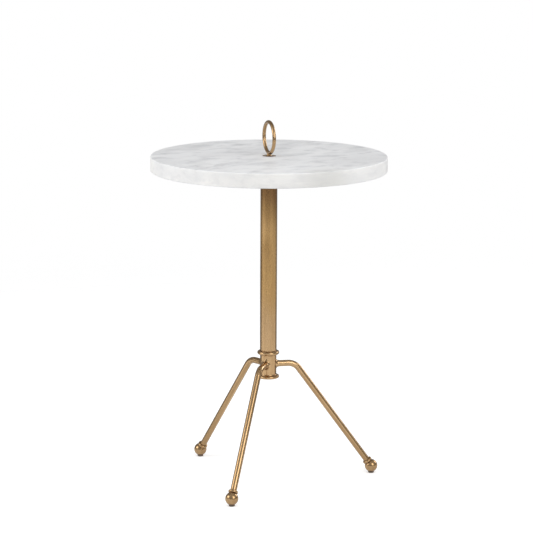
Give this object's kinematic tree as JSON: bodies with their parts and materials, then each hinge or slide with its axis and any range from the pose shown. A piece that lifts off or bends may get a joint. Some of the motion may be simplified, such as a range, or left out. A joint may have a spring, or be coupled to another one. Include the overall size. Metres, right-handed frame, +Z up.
{
  "type": "side table",
  "caption": "Small side table with a round stone top clamped by a brass ring handle onto a turned column, standing on bent rod legs with ball feet.",
  "frame": {"origin": "on the floor, under the axis of the column", "axes": "+Z up along the column, +X along one of the legs, +Y to complete a right-handed frame"},
  "size_m": [0.406, 0.406, 0.6312],
  "materials": {
    "marble": "honed white marble with soft grey veins",
    "brass": "satin antique brass",
    "steel": "plain turned steel",
    "black_steel": "satin black paint",
    "rubber": "matte dark rubber",
    "felt": "dark pressed felt"
  },
  "bodies": {
    "stand": {"marble_top": "marble", "top_plate": "black_steel", "plate_pads": "rubber", "column_top_plug": "steel", "column_bottom_plug": "steel", "column_tube": "brass", "column_collar": "brass", "hub_body": "brass", "hub_bolt": "steel", "hub_washer": "steel", "hub_lock_washer": "steel", "leg_right": "brass", "foot_collar_right": "brass", "ball_foot_right": "brass", "foot_pad_right": "rubber", "leg_rear": "brass", "foot_collar_rear": "brass", "ball_foot_rear": "brass", "foot_pad_rear": "rubber", "leg_front": "brass", "foot_collar_front": "brass", "ball_foot_front": "brass", "foot_pad_front": "rubber"},
    "ring_washer": {"ring_disc": "brass", "disc_gasket": "felt"},
    "ring_screw": {"ring_handle": "brass", "ring_stud": "brass"}
  },
  "joints": [
    {"name": "ring_rise", "type": "slide", "parent": "stand", "child": "ring_washer", "axis": [0, 0, 1], "range_m": [0, 0.0125]},
    {"name": "ring_turn", "type": "hinge", "parent": "ring_washer", "child": "ring_screw", "pos_m": [0, 0, 0.5702], "axis": [0, 0, 1], "range_deg": [0, 3600]}
  ],
  "couplings": [
    {"joint": "ring_rise", "follows": "ring_turn", "m_per_rad": 0.00019894}
  ]
}
